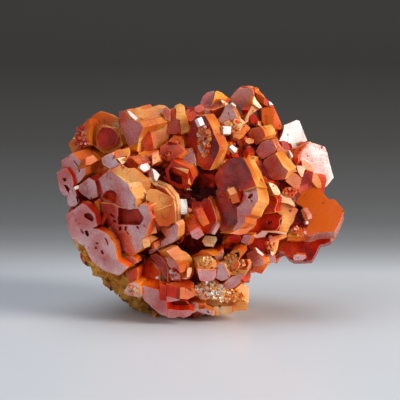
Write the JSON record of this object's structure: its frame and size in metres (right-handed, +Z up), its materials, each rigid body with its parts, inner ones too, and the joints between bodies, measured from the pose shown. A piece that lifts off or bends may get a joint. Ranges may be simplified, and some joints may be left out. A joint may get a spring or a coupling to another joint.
{
  "type": "vanadinite specimen",
  "caption": "Hand specimen of intergrown six-sided vanadinite crystals on a lump of iron-stained rock, standing on the rock's flat underside.",
  "frame": {"origin": "on the resting surface, under the middle of the specimen's bounding box", "axes": "+Z up, -Y towards the front that the crystals face, +X to the right as seen from the front"},
  "size_m": [0.0502, 0.0382, 0.0401],
  "materials": {
    "vanadinite": "glossy deep red to orange crystal faces, striated tan-orange sides",
    "rock": "rough, earthy ochre-brown iron stain"
  },
  "bodies": {
    "root": {"crystal_cluster": "vanadinite", "back_crystals_left": "vanadinite", "back_crystals_right": "vanadinite", "back_crystals_low": "vanadinite", "matrix": "rock"}
  },
  "joints": []
}
